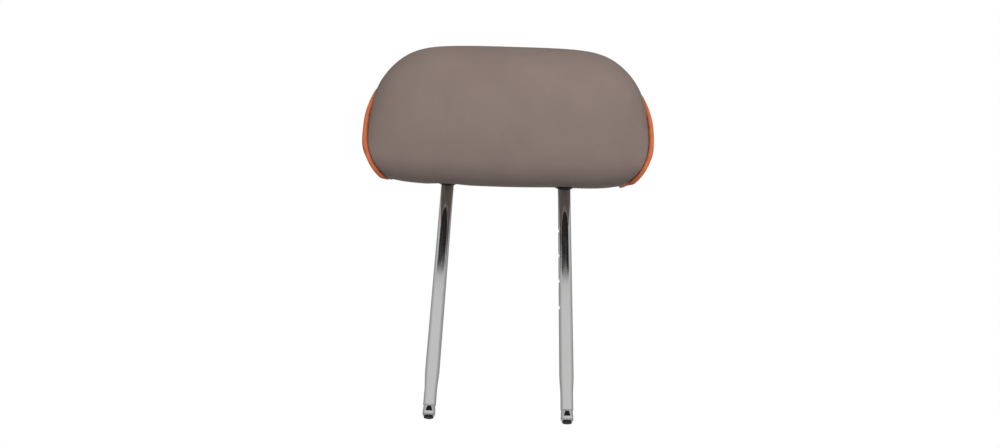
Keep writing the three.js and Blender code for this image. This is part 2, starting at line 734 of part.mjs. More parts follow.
function collar(side) {
  const flange = new THREE.Shape();
  flange.absellipse(0, 0, COLLAR_FLANGE_X / 2, COLLAR_FLANGE_Y / 2, 0, 2 * Math.PI);
  const plate = new THREE.ExtrudeGeometry(flange, {
    depth: COLLAR_FLANGE_THICKNESS,
    bevelEnabled: false,
    curveSegments: 14,
  });
  plate.translate((side * POST_SPACING) / 2, 0, -SEAT_GAP - COLLAR_FLANGE_THICKNESS);
  const slantedFoot = (POST_RADIUS + COLLAR_WALL) * Math.tan(CUSHION_LEAN);
  const sleeve = alongPost(
    cylinder(POST_RADIUS + SEAT_GAP + COLLAR_WALL, -slantedFoot, COLLAR_DEPTH),
    side,
  );
  const below = new THREE.BoxGeometry(BASE_THICKNESS, BASE_THICKNESS, BASE_THICKNESS);
  below.translate(
    (side * POST_SPACING) / 2,
    0,
    -SEAT_GAP - COLLAR_FLANGE_THICKNESS - BASE_THICKNESS / 2,
  );
  const bore = alongPost(cylinder(POST_RADIUS + SEAT_GAP, -BASE_THICKNESS, BASE_THICKNESS), side);
  return cut(join([plate, cut(sleeve, [below])]), [bore]);
}

const headrest = new THREE.Group();
headrest.add(cushion);

function place(parent, name, geometry, material) {
  const mesh = new THREE.Mesh(geometry, material);
  mesh.name = name;
  parent.add(mesh);
  return mesh;
}

place(headrest, "post_frame", postFrame(), materials.chrome);
for (const [name, side] of [
  ["left", -1],
  ["right", 1],
]) {
  const plug = place(headrest, `post_end_plug_${name}`, endPlug(), materials.blackPlastic);
  plug.position.x = (side * POST_SPACING) / 2;
  place(cushion, `post_collar_${name}`, collar(side), materials.blackPlastic);
}

place(cushion, "insert_front_half", insertHalf(-1), materials.greyPlastic);
place(cushion, "insert_rear_half", insertHalf(1), materials.greyPlastic);
screwPoints().forEach((point, i) => {
  const fixing = place(cushion, `insert_screw_${i + 1}`, screw(), materials.steel);
  fixing.position.set(point.x, LEG_BACK + INSERT_DEPTH / 2 - SEAT_GAP, point.z);
  fixing.rotation.x = Math.PI;
});

place(cushion, "foam_core", foamCore(), materials.foam);
place(cushion, "cover_main_panel", coverMainPanel(), materials.leather);
const rightEnd = coverEnd();
place(cushion, "cover_end_right", rightEnd, materials.leather);
place(cushion, "cover_end_left", mirrored(rightEnd), materials.leather);
const rightPiping = piping();
place(cushion, "piping_right", rightPiping, materials.piping);
place(cushion, "piping_left", mirrored(rightPiping), materials.piping);
place(cushion, "closure_strip_front", closureStripFront(), materials.blackPlastic);
place(cushion, "closure_strip_rear", closureStripRear(), materials.blackPlastic);

export default headrest;
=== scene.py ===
# A car headrest with a padded leatherette cushion, orange piping at its end seams and two chromed
# posts. Metres, +Z up along the posts, the face towards -Y, the origin midway between the lower post
# ends.
import math

import bmesh
import bpy
import numpy as np
from mathutils import Matrix, Vector, noise
from mathutils.bvhtree import BVHTree
from mathutils.kdtree import KDTree


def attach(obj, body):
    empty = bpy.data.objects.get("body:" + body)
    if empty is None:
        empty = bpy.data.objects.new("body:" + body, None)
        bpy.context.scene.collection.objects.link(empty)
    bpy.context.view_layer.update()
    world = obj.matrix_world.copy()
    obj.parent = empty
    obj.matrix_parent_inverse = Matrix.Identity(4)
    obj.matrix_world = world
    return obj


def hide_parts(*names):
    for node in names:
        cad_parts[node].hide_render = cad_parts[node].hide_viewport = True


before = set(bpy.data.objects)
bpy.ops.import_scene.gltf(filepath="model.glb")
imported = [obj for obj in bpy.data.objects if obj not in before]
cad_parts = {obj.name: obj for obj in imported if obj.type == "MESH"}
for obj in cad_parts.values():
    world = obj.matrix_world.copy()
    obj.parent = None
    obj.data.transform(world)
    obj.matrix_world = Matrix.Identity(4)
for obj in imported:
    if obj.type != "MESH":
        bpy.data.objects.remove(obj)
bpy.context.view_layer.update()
scene = bpy.context.scene

# ---------------------------------------------------------------- Camera
# It stands a little below the lower ends of the posts, 0.67 m away, and looks up at the cushion's face
# with the head turned by two degrees.
azimuth, elevation, roll = (math.radians(d) for d in (0.07, -28.91, 2.20))
back = Vector(
    (
        math.sin(azimuth) * math.cos(elevation),
        -math.cos(azimuth) * math.cos(elevation),
        math.sin(elevation),
    )
)
right = Vector((math.cos(azimuth), math.sin(azimuth), 0.0))
up = back.cross(right)
aim = Vector((0.0, 0.0, 0.150)) - 0.0045 * right + 0.0361 * up
rolled_right = math.cos(roll) * right + math.sin(roll) * up
rolled_up = math.cos(roll) * up - math.sin(roll) * right
camera = bpy.data.objects.new("camera", bpy.data.cameras.new("camera"))
camera.data.sensor_width = 36.0
camera.data.lens = 25.2
camera.data.clip_start = 0.01
camera.matrix_world = Matrix.Translation(aim + 0.668 * back) @ Matrix(
    (rolled_right, rolled_up, back)
).transposed().to_4x4()
scene.collection.objects.link(camera)
scene.camera = camera

# ---------------------------------------------------------------- Cushion cover
# Taupe leatherette with a thin foam backing, sewn from one wrapped panel and two end panels, and drawn
# over the moulded foam through a slot on the underside. The padding fills it out between the seams.
POST_SPACING = 0.118
POST_REACH = 0.236  # from the post ends to the cushion's underside
LEAN = math.radians(30.0)
CUSHION_HEIGHT = 0.136
FACE_DEPTH = 0.050
BASE_THICKNESS, TOP_THICKNESS = 0.104, 0.074
WIDEST_HALF, WIDEST_HEIGHT = 0.1357, 0.069
BASE_HALF, TOP_HALF = 0.120, 0.1287
FACE_BASE_RADIUS = FACE_TOP_RADIUS = 0.034
REAR_TOP_RADIUS, REAR_BASE_RADIUS = 0.028, 0.018
FACE_CROWN, REAR_CROWN = 0.004, 0.003
SLOT_BACK, SLOT_WIDTH = 0.023, 0.001
SEAM_TUCK = 0.0010  # how deep both panels turn in where they are sewn together
END_STEP = 0.0028  # from the seam to the end panel's outer face, sideways
SLOT_FOLD, SLOT_HALF = 0.0035, 0.112  # how deep the cover folds in at the slot, and half its length
COLLAR_REACH = 0.009  # from a post's axis to where its collar lets the cover go
PADDING_LIMIT = 0.0035  # the most that the padding moves the cover
rear_base = BASE_THICKNESS - FACE_DEPTH
rear_normal = np.array([CUSHION_HEIGHT, BASE_THICKNESS - TOP_THICKNESS])
rear_normal /= np.hypot(*rear_normal)


def to_row(points):
    """Turns points of the cushion's own frame, across, back and up the face, into the row frame."""
    p = np.asarray(points, float)
    leaned = np.empty_like(p)
    leaned[..., 0] = p[..., 0]
    leaned[..., 1] = p[..., 1] * math.cos(LEAN) - p[..., 2] * math.sin(LEAN)
    leaned[..., 2] = p[..., 1] * math.sin(LEAN) + p[..., 2] * math.cos(LEAN) + POST_REACH
    return leaned


def arc(centre, radius, start, end):
    turn = np.linspace(start, end, 48)
    return np.column_stack([centre[0] + radius * np.cos(turn), centre[1] + radius * np.sin(turn)])


def bow(start, control, end):
    t = np.linspace(0.0, 1.0, 48)[:, None]
    return (1 - t) ** 2 * np.array(start) + 2 * t * (1 - t) * np.array(control) + t**2 * np.array(end)


def side_view(spacing):
    """The cushion from the side, as (back, up) points: forward from the slot, up the face and round."""
    turn = math.atan2(rear_normal[1], rear_normal[0])

    def rear_centre(height, radius):
        return (rear_base - (radius + rear_normal[1] * height) / rear_normal[0], height)

    face_foot = (-FACE_DEPTH, FACE_BASE_RADIUS)
    face_head = (-FACE_DEPTH, CUSHION_HEIGHT - FACE_TOP_RADIUS)
    face_control = (-FACE_DEPTH - 2 * FACE_CROWN, (face_foot[1] + face_head[1]) / 2)
    top_arc = arc(
        rear_centre(CUSHION_HEIGHT - REAR_TOP_RADIUS, REAR_TOP_RADIUS),
        REAR_TOP_RADIUS,
        math.pi / 2,
        turn,
    )
    base_arc = arc(
        rear_centre(REAR_BASE_RADIUS, REAR_BASE_RADIUS), REAR_BASE_RADIUS, turn, -math.pi / 2
    )
    rear_control = (top_arc[-1] + base_arc[0]) / 2 + 2 * REAR_CROWN * rear_normal
    path = np.vstack(
        [
            [(SLOT_BACK - SLOT_WIDTH / 2, 0.0)],
            arc(
                (FACE_BASE_RADIUS - FACE_DEPTH, FACE_BASE_RADIUS),
                FACE_BASE_RADIUS,
                -math.pi / 2,
                -math.pi,
            ),
            bow(face_foot, face_control, face_head),
            arc(
                (FACE_TOP_RADIUS - FACE_DEPTH, face_head[1]), FACE_TOP_RADIUS, math.pi, math.pi / 2
            ),
            top_arc,
            bow(top_arc[-1], rear_control, base_arc[0]),
            base_arc,
            [(SLOT_BACK + SLOT_WIDTH / 2, 0.0)],
        ]
    )
    run = np.concatenate([[0.0], np.cumsum(np.hypot(*np.diff(path, axis=0).T))])
    fine = np.linspace(0.0, run[-1], round(run[-1] / 0.0005) + 1)
    path = np.column_stack([np.interp(fine, run, path[:, 0]), np.interp(fine, run, path[:, 1])])
    # The stretched cover eases from one radius into the next.
    reach = 30
    window = np.exp(-((np.arange(-reach, reach + 1) / 10.0) ** 2) / 2)
    window /= window.sum()
    before = 2 * path[0] - path[reach:0:-1]
    after = 2 * path[-1] - path[-2 : -reach - 2 : -1]
    longer = np.vstack([before, path, after])
    path = np.column_stack([np.convolve(longer[:, k], window, "valid") for k in (0, 1)])
    run = np.concatenate([[0.0], np.cumsum(np.hypot(*np.diff(path, axis=0).T))])
    even = np.linspace(0.0, run[-1], round(run[-1] / spacing) + 1)
    return np.column_stack([np.interp(even, run, path[:, 0]), np.interp(even, run, path[:, 1])])


def half_width(height):
    above = np.clip((height - WIDEST_HEIGHT) / (CUSHION_HEIGHT - WIDEST_HEIGHT), 0, 1)
    below = np.clip((WIDEST_HEIGHT - height) / WIDEST_HEIGHT, 0, 1)
    return WIDEST_HALF - (WIDEST_HALF - TOP_HALF) * above**2 - (WIDEST_HALF - BASE_HALF) * below**2.5


def drawn_in(side, across):
    """Thins the side view and lowers its top towards the seams, as the shoulders round over."""
    height = side[..., 1] / CUSHION_HEIGHT
    rear = rear_base - (BASE_THICKNESS - TOP_THICKNESS) * height
    middle = (rear - FACE_DEPTH) / 2
    edge = np.abs(across) ** 6.3
    depth = middle + (side[..., 0] - middle) * (1 - (0.16 + 0.66 * height**2) * edge)
    rise = 0.0040 * np.abs(across) ** 8 * (1 - height)
    return depth, side[..., 1] - 0.046 * edge * height + rise


def wrapped(side, across):
    depth, height = drawn_in(side, across)
    return np.stack(np.broadcast_arrays(across * half_width(side[..., 1]), depth, height), axis=-1)


def settled(points):
    """The stuffing's own unevenness: full shoulders, a sag between the posts and a lean to one side."""
    p = np.array(points, float)
    x, y, height = p[..., 0].copy(), p[..., 1], p[..., 2].copy()
    full = ((np.abs(x) - 0.126) / 0.024) ** 2 + ((height - 0.090) / 0.028) ** 2
    full = 0.0034 * np.exp(-full)
    collar_gap = np.hypot(np.abs(x) - POST_SPACING / 2, y)
    free = np.clip((collar_gap - 0.011) / 0.010, 0, 1) * np.clip((0.012 - y) / 0.016, 0, 1)
    free = np.maximum(free, np.clip(height / 0.022, 0, 1))
    sag = 0.0024 * np.clip(1 - (x / 0.125) ** 2, 0, 1) * np.clip(1 - height / 0.05, 0, 1) ** 2
    p[..., 0] += 0.7 * full * np.sign(x) - 0.012 * (height - 0.065) * free
    p[..., 2] += 0.8 * full + (0.012 * x - sag) * free
    return p


side = side_view(0.0027)
seam = wrapped(side, 1.0)
# The seam draws the piping in over the shoulders and under the base, where the cover is stretched.
share = side[:, 1] / CUSHION_HEIGHT
drawn = np.maximum(np.clip((share - 0.62) / 0.42, 0, 1), 0.55 * np.clip(1 - share / 0.03, 0, 1))
drawn = drawn * drawn * (3 - 2 * drawn)
seam_out = np.cross((1.0, 0.0, 0.0), np.gradient(seam, axis=0))
seam_out /= np.linalg.norm(seam_out, axis=-1, keepdims=True)
steps = np.array([0.0, 0.3, 0.7, 1.2, 1.8, 2.6, 3.8, 5.6, 7.8, 10.4, 13.4]) * 0.001


def tucked(distance):
    """How far a panel turns in at a distance from its edge, on a quarter round."""
    short = np.clip(SEAM_TUCK - distance, 0, None)
    return SEAM_TUCK - np.sqrt(SEAM_TUCK**2 - short**2)


# The wrapped panel, from one seam to the other.
from_edge = np.concatenate([steps, np.arange(0.0166, 0.132, 0.0032)])
across = 1 - (from_edge + 0.0004) / WIDEST_HALF
across = np.concatenate([-across, across[::-1]])
from_edge = np.concatenate([from_edge, from_edge[::-1]])
wrap = wrapped(side[:, None, :], across[None, :])
inward = np.cross(np.gradient(wrap, axis=0), np.gradient(wrap, axis=1))
inward /= np.linalg.norm(inward, axis=-1, keepdims=True)
wrap = wrap + inward * (tucked(from_edge)[None, :, None] + 0.0008)

# The end panel at +X, from its rim under the piping to its crowned middle.
rim = seam - seam_out * 0.0021
rim_middle = rim.mean(axis=0)
from_rim = np.concatenate([steps, np.arange(0.0166, 0.044, 0.0032)])
ends = []
for step in from_rim:
    spread = 1 - step / 0.048
    ring = rim_middle + (rim - rim_middle) * spread
    height = CUSHION_HEIGHT / 2 + (side[:, 1] - CUSHION_HEIGHT / 2) * spread
    bulge = 0.006 * (1 - spread**2.4)
    edge_step = END_STEP * (1 - 0.5 * drawn * math.exp(-step / 0.003)) + 0.0006 * (1 - spread)
    ring[:, 0] = half_width(height) + edge_step + bulge - tucked(step) - 0.0004
    ends.append(ring)
ends = np.stack(ends, axis=1)

# The rings of the whole cover, from the middle of one end panel to the middle of the other.
left_ends = ends[:, ::-1] * (-1, 1, 1)
rings = np.concatenate([left_ends, wrap, ends], axis=1)
slot_dip = rings[[-1, 0]].copy()
slot_dip[..., 2] += SLOT_FOLD * np.clip((SLOT_HALF - np.abs(slot_dip[..., 0])) / 0.006, 0, 1)
rings = np.concatenate([rings, slot_dip], axis=0)
count, columns = rings.shape[:2]
poles = np.array([left_ends[:, 0].mean(axis=0), ends[:, -1].mean(axis=0)])
vertices = np.concatenate([rings.reshape(-1, 3), poles])
faces = []
for i in range(count):
    k = (i + 1) % count
    for j in range(columns - 1):
        faces.append((i * columns + j, i * columns + j + 1, k * columns + j + 1, k * columns + j))
    faces.append((i * columns, k * columns, count * columns))
    faces.append((k * columns + columns - 1, i * columns + columns - 1, count * columns + 1))

cover_mesh = bpy.data.meshes.new("cushion_cover")
cover_mesh.from_pydata(to_row(settled(vertices)).tolist(), [], faces)
cover = bpy.data.objects.new("cushion_cover", cover_mesh)
scene.collection.objects.link(cover)

# The padding presses the cover outwards, between the seams that hold it in.
seam_line = np.concatenate([seam + (0.0012, 0, 0), (seam + (0.0012, 0, 0)) * (-1, 1, 1)])
seam_line = to_row(settled(seam_line))
seam_tree = KDTree(len(seam_line))
for n, point in enumerate(seam_line):
    seam_tree.insert(point, n)
seam_tree.balance()
entries = [Vector(to_row((s * POST_SPACING / 2, 0.0, 0.0))) for s in (-1, 1)]
slot_run = [Vector(to_row((x, SLOT_BACK, 0.0))) for x in np.linspace(-0.118, 0.118, 60)]


def held(point):
    """0 where a seam, the slot or a post's collar holds the cover, and 1 where it is free."""
    gap = seam_tree.find(point)[2]
    gap = min(gap, *((point - p).length for p in slot_run))
    gap = min(gap, *((point - p).length - COLLAR_REACH for p in entries))
    return min(max((gap - 0.003) / 0.012, 0.0), 1.0)


pad = cover.copy()
pad.data = cover.data.copy()
scene.collection.objects.link(pad)
remesh = pad.modifiers.new("remesh", "REMESH")
remesh.mode = "VOXEL"
remesh.voxel_size = 0.005
bpy.context.view_layer.update()
evaluated = pad.evaluated_get(bpy.context.evaluated_depsgraph_get())
pad.data = bpy.data.meshes.new_from_object(evaluated)
pad.modifiers.clear()
before = np.array([v.co for v in pad.data.vertices])
pins = pad.vertex_groups.new(name="held")
for n, point in enumerate(before):
    pins.add([n], 1.0 - held(Vector(point)), "REPLACE")
cloth = pad.modifiers.new("padding", "CLOTH")
cloth.settings.effector_weights.gravity = 0.0
cloth.settings.use_pressure = True
cloth.settings.uniform_pressure_force = 4.0
cloth.settings.mass = 0.3
cloth.settings.tension_stiffness = 40.0
cloth.settings.compression_stiffness = 40.0
cloth.settings.bending_stiffness = 4.0
cloth.settings.quality = 6
cloth.settings.vertex_group_mass = "held"
for number in range(1, 21):
    scene.frame_set(number)
evaluated = pad.evaluated_get(bpy.context.evaluated_depsgraph_get())
puffed = np.array([v.co for v in evaluated.data.vertices])
scene.frame_set(1)
bpy.data.objects.remove(pad)
shift = puffed - before
length = np.linalg.norm(shift, axis=1, keepdims=True)
shift *= np.minimum(1.0, PADDING_LIMIT / np.maximum(length, 1e-9))
tree = KDTree(len(before))
for n, point in enumerate(before):
    tree.insert(point, n)
tree.balance()
# The foam behind the cover lets it swell or slide, and not sink in.
facing = [v.normal.copy() for v in cover_mesh.vertices]
for vertex, normal in zip(cover_mesh.vertices, facing):
    near = tree.find_n(vertex.co, 8)
    weight = np.array([1.0 / (d + 0.001) ** 2 for _, _, d in near])
    move = (shift[[n for _, n, _ in near]] * weight[:, None]).sum(axis=0) / weight.sum()
    move = Vector(move)
    move -= normal * min(0.0, move.dot(normal))
    vertex.co += move * held(vertex.co)

# Small gathers along the seams, where the thread draws the leatherette in, and broad unevenness.
cover_mesh.update()
normals = [v.normal.copy() for v in cover_mesh.vertices]
for vertex, normal in zip(cover_mesh.vertices, normals):
    gap = seam_tree.find(vertex.co)[2]
    gathers = 0.00030 * math.exp(-(((gap - 0.007) / 0.006) ** 2)) * noise.noise(vertex.co * 110)
    broad = 0.0005 * noise.noise(vertex.co * 17) * min(gap / 0.03, 1.0)
    collar = min((vertex.co - p).length for p in entries)
    pressed = 0.0006 * max(0.0, 1 - max(0.0, collar - COLLAR_REACH) / 0.008)
    vertex.co += normal * (gathers + broad - pressed)
for polygon in cover_mesh.polygons:
    polygon.use_smooth = True
round_off = cover.modifiers.new("round_off", "SUBSURF")
round_off.levels = round_off.render_levels = 1

leatherette = bpy.data.materials.new("taupe_leatherette")
leatherette.use_nodes = True
nodes, links = leatherette.node_tree.nodes, leatherette.node_tree.links
shader = nodes["Principled BSDF"]
shader.inputs["Specular IOR Level"].default_value = 0.35
position = nodes.new("ShaderNodeTexCoord").outputs["Object"]
patches = nodes.new("ShaderNodeTexNoise")
patches.inputs["Scale"].default_value = 22.0
patches.inputs["Detail"].default_value = 4.0
links.new(position, patches.inputs["Vector"])
tone = nodes.new("ShaderNodeValToRGB")
tone.color_ramp.elements[0].position = 0.3
tone.color_ramp.elements[0].color = (0.238, 0.184, 0.161, 1)
tone.color_ramp.elements[1].position = 0.7
tone.color_ramp.elements[1].color = (0.262, 0.204, 0.178, 1)
links.new(patches.outputs["Fac"], tone.inputs["Fac"])
grain = nodes.new("ShaderNodeTexVoronoi")
grain.feature = "DISTANCE_TO_EDGE"
grain.inputs["Scale"].default_value = 1150.0
grain.inputs["Randomness"].default_value = 0.9
links.new(position, grain.inputs["Vector"])
valleys = nodes.new("ShaderNodeMapRange")
valleys.inputs["From Max"].default_value = 0.22
links.new(grain.outputs["Distance"], valleys.inputs["Value"])
pores = nodes.new("ShaderNodeTexNoise")
pores.inputs["Scale"].default_value = 2600.0
pores.inputs["Detail"].default_value = 3.0
links.new(position, pores.inputs["Vector"])
relief = nodes.new("ShaderNodeMath")
relief.operation = "MULTIPLY_ADD"
relief.inputs[1].default_value = 0.35
links.new(pores.outputs["Fac"], relief.inputs[0])
links.new(valleys.outputs["Result"], relief.inputs[2])
bump = nodes.new("ShaderNodeBump")
bump.inputs["Strength"].default_value = 0.35
bump.inputs["Distance"].default_value = 0.00012
links.new(relief.outputs["Value"], bump.inputs["Height"])
links.new(bump.outputs["Normal"], shader.inputs["Normal"])
# Painted shade: the base colour is darkened by a tenth in the grain's valleys, where the bump sinks the
# surface in.
shade = nodes.new("ShaderNodeMix")
shade.data_type = "RGBA"
shade.blend_type = "MULTIPLY"
shade.inputs["B"].default_value = (0.90, 0.89, 0.885, 1)
groove_shade = nodes.new("ShaderNodeMapRange")
groove_shade.inputs["To Min"].default_value = 1.0
groove_shade.inputs["To Max"].default_value = 0.0
links.new(valleys.outputs["Result"], groove_shade.inputs["Value"])
links.new(groove_shade.outputs["Result"], shade.inputs["Factor"])
links.new(tone.outputs["Color"], shade.inputs["A"])
links.new(shade.outputs["Result"], shader.inputs["Base Color"])
gloss = nodes.new("ShaderNodeMapRange")
gloss.inputs["To Min"].default_value = 0.50
gloss.inputs["To Max"].default_value = 0.62
links.new(patches.outputs["Fac"], gloss.inputs["Value"])
links.new(gloss.outputs["Result"], shader.inputs["Roughness"])
cover.data.materials.append(leatherette)

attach(cover, "root")
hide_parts("cover_main_panel", "cover_end_left", "cover_end_right")

# ---------------------------------------------------------------- Piping
# A cord wrapped in orange leatherette, with its two edges sewn into the seam between the wrapped panel
# and the end panel, from one side of the slot round to the other.
PIPING_RADIUS = 0.0022
orange = bpy.data.materials.new("orange_leatherette")
orange.use_nodes = True
nodes, links = orange.node_tree.nodes, orange.node_tree.links
shader = nodes["Principled BSDF"]
shader.inputs["Specular IOR Level"].default_value = 0.4
shader.inputs["Roughness"].default_value = 0.46
position = nodes.new("ShaderNodeTexCoord").outputs["Object"]
worn = nodes.new("ShaderNodeTexNoise")
worn.inputs["Scale"].default_value = 160.0
worn.inputs["Detail"].default_value = 5.0
links.new(position, worn.inputs["Vector"])
tone = nodes.new("ShaderNodeValToRGB")
tone.color_ramp.elements[0].position = 0.32
tone.color_ramp.elements[0].color = (0.57, 0.135, 0.050, 1)
tone.color_ramp.elements[1].position = 0.68
tone.color_ramp.elements[1].color = (0.67, 0.175, 0.070, 1)
links.new(worn.outputs["Fac"], tone.inputs["Fac"])
links.new(tone.outputs["Color"], shader.inputs["Base Color"])
grain = nodes.new("ShaderNodeTexVoronoi")
grain.feature = "DISTANCE_TO_EDGE"
grain.inputs["Scale"].default_value = 1500.0
links.new(position, grain.inputs["Vector"])
bump = nodes.new("ShaderNodeBump")
bump.inputs["Strength"].default_value = 0.4
bump.inputs["Distance"].default_value = 0.0001
links.new(grain.outputs["Distance"], bump.inputs["Height"])
links.new(bump.outputs["Normal"], shader.inputs["Normal"])

centre = seam + seam_out * (0.0007 - 0.0026 * drawn[:, None])
centre[:, 0] += 0.0013 - 0.0019 * drawn
girth = 1 - 0.15 * drawn
# The section: a round cord with the neck of its two sewn edges, which reaches down into the seam.
section = [
    (math.sin(t) * PIPING_RADIUS, math.cos(t) * PIPING_RADIUS)
    for t in np.linspace(-2.55, 2.55, 19)
] + [(0.0004, -0.0032), (-0.0004, -0.0032)]
for name, sign in (("left", -1), ("right", 1)):
    vertices, faces = [], []
    for point, outwards, scale in zip(centre, seam_out, girth):
        for sideways, proud in section:
            p = point + (outwards * proud + np.array((sideways, 0.0, 0.0))) * scale
            vertices.append(p * (sign, 1, 1))
    n = len(section)
    for i in range(len(centre) - 1):
        for j in range(n):
            k = (j + 1) % n
            faces.append((i * n + j, i * n + k, (i + 1) * n + k, (i + 1) * n + j))
    faces.append(tuple(range(n)))
    faces.append(tuple(range((len(centre) - 1) * n, len(centre) * n)))
    mesh = bpy.data.meshes.new(f"piping_cord_{name}")
    mesh.from_pydata(to_row(settled(vertices)).tolist(), [], faces)
    shaping = bmesh.new()
    shaping.from_mesh(mesh)
    bmesh.ops.recalc_face_normals(shaping, faces=shaping.faces)
    shaping.to_mesh(mesh)
    shaping.free()
    mesh.polygons.foreach_set("use_smooth", [True] * len(mesh.polygons))
    mesh.materials.append(orange)
    piping = bpy.data.objects.new(f"piping_cord_{name}", mesh)
    scene.collection.objects.link(piping)
    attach(piping, "root")
    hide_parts(f"piping_{name}")

# ---------------------------------------------------------------- Posts
# One steel tube bent to a U and chromed. Its legs are the posts: drawn in at their lower ends, with a
# groove above the rounded rim, and four height notches milled into the inner side of the post at +X.
POST_RADIUS = 0.00635
TIP_RADIUS = 0.0055
TIP_LENGTH, TIP_CONE = 0.024, 0.018
POST_START = 0.0019
RIM_HEIGHT, RIM_ROUNDING = 0.007, 0.0016
GROOVE_WIDTH, GROOVE_DEPTH = 0.0016, 0.0006
NOTCH_HEIGHTS = [0.1076 + 0.0268 * n for n in range(4)]
SIDES = 72


def tip_profile():
    """(height, radius) of a post's lower end, from inside the mouth over the rim and up the cone."""
    profile = [(POST_START + 0.012, 0.0), (POST_START + 0.012, 0.0034), (POST_START + 0.0003, 0.0034)]
    for t in np.linspace(-math.pi / 2, 0, 9):
        profile.append(
            (
                POST_START + RIM_ROUNDING * (1 + math.sin(t)),
                TIP_RADIUS - RIM_ROUNDING * (1 - math.cos(t)),
            )
        )
    shoulder = POST_START + RIM_HEIGHT
    for t in np.linspace(0, math.pi, 9)[1:]:
        profile.append(
            (
                shoulder + GROOVE_WIDTH * (1 - math.cos(t)) / 2 + 0.0004,
                TIP_RADIUS - GROOVE_DEPTH * math.sin(t) ** 0.6,
            )
        )
    for t in np.linspace(0, 1, 17):
        ease = t * t * (3 - 2 * t)
        profile.append((TIP_LENGTH + TIP_CONE * t, TIP_RADIUS + (POST_RADIUS - TIP_RADIUS) * ease))
    return profile


bend_tangent = 0.034 * math.tan(LEAN / 2)
lower_corner = np.array([POST_SPACING / 2, 0.0, POST_REACH + 0.012 + bend_tangent])
leaning = np.array([0.0, -math.sin(LEAN), math.cos(LEAN)])
rise = 0.092 - (0.012 + bend_tangent) * math.cos(LEAN)
upper_corner = lower_corner + leaning * rise


def bend_points(corner, before, after, tangent, steps):
    half = math.acos(np.clip(before @ after, -1, 1)) / 2
    radius = tangent / math.tan(half)
    inwards = (after - before) / np.linalg.norm(after - before)
    centre = corner + inwards * radius / math.cos(half)
    spoke = -inwards * radius
    swing = np.cross(before, after)
    swing /= np.linalg.norm(swing)
    turns = np.linspace(-half, half, steps)
    return [centre + Matrix.Rotation(t, 3, Vector(swing)) @ Vector(spoke) for t in turns]


leg = [(np.array([POST_SPACING / 2, 0.0, z]), r) for z, r in tip_profile()]
leg += [(np.array([POST_SPACING / 2, 0.0, z]), POST_RADIUS) for z in np.arange(0.055, 0.24, 0.012)]
for point in bend_points(lower_corner, np.array([0.0, 0.0, 1.0]), leaning, bend_tangent, 10):
    leg.append((np.array(point), POST_RADIUS))
for point in bend_points(upper_corner, leaning, np.array([-1.0, 0.0, 0.0]), 0.024, 16):
    leg.append((np.array(point), POST_RADIUS))
stations = leg + [(p * (-1, 1, 1), r) for p, r in reversed(leg)]

vertices, faces = [], []
heading = Vector((0.0, 0.0, 1.0))
sideways = Vector((1.0, 0.0, 0.0))
for i, (point, radius) in enumerate(stations):
    nearby = [stations[k][0] for k in (max(i - 1, 0), min(i + 1, len(stations) - 1))]
    step = Vector(nearby[1] - nearby[0])
    inside_tip = i < len(tip_profile()) or i >= len(stations) - len(tip_profile())
    if inside_tip:
        step = Vector((0.0, 0.0, 1.0 if i < len(stations) / 2 else -1.0))
    sideways = (sideways - sideways.project(step)).normalized()
    across_axis = step.normalized().cross(sideways)
    for j in range(SIDES):
        t = 2 * math.pi * j / SIDES
        vertices.append(
            Vector(point) + (math.cos(t) * sideways + math.sin(t) * across_axis) * float(radius)
        )
for i in range(len(stations) - 1):
    for j in range(SIDES):
        k = (j + 1) % SIDES
        faces.append(
            (i * SIDES + j, i * SIDES + k, (i + 1) * SIDES + k, (i + 1) * SIDES + j)
        )
post_mesh = bpy.data.meshes.new("chromed_posts")
post_mesh.from_pydata(vertices, [], faces)
shaping = bmesh.new()
shaping.from_mesh(post_mesh)
bmesh.ops.remove_doubles(shaping, verts=shaping.verts, dist=1e-6)
bmesh.ops.recalc_face_normals(shaping, faces=shaping.faces)
shaping.to_mesh(post_mesh)
shaping.free()
posts = bpy.data.objects.new("chromed_posts", post_mesh)
scene.collection.objects.link(posts)

# The milling cutter's path: a square shoulder at the top of each notch, a flat and a ramp below it.
wall = POST_SPACING / 2 - POST_RADIUS
profile = [(-0.004, 0), (0.0015, 0), (0.0015, -0.0026), (0, -0.0050), (-0.004, -0.0050)]
vertices, faces = [], []
for z in NOTCH_HEIGHTS:
    first = len(vertices)
    for y in (-0.008, 0.008):
        vertices += [(wall + x, y, z + up_from) for x, up_from in profile]
    faces += [tuple(first + n for n in range(5)), tuple(first + 9 - n for n in range(5))]
    faces += [
        (first + n, first + 5 + n, first + 5 + (n + 1) % 5, first + (n + 1) % 5) for n in range(5)
    ]
cutter_mesh = bpy.data.meshes.new("cutter")
cutter_mesh.from_pydata(vertices, [], faces)
shaping = bmesh.new()
shaping.from_mesh(cutter_mesh)
bmesh.ops.recalc_face_normals(shaping, faces=shaping.faces)
shaping.to_mesh(cutter_mesh)
shaping.free()
cutter = bpy.data.objects.new("cutter", cutter_mesh)
scene.collection.objects.link(cutter)
milling = posts.modifiers.new("milling", "BOOLEAN")
milling.object = cutter
milling.solver = "EXACT"
bpy.context.view_layer.update()
evaluated = posts.evaluated_get(bpy.context.evaluated_depsgraph_get())
posts.data = bpy.data.meshes.new_from_object(evaluated)
posts.modifiers.clear()
bpy.data.objects.remove(cutter)
posts.data.name = "chromed_posts"
posts.data.shade_smooth()
posts.data.set_sharp_from_angle(angle=math.radians(38))

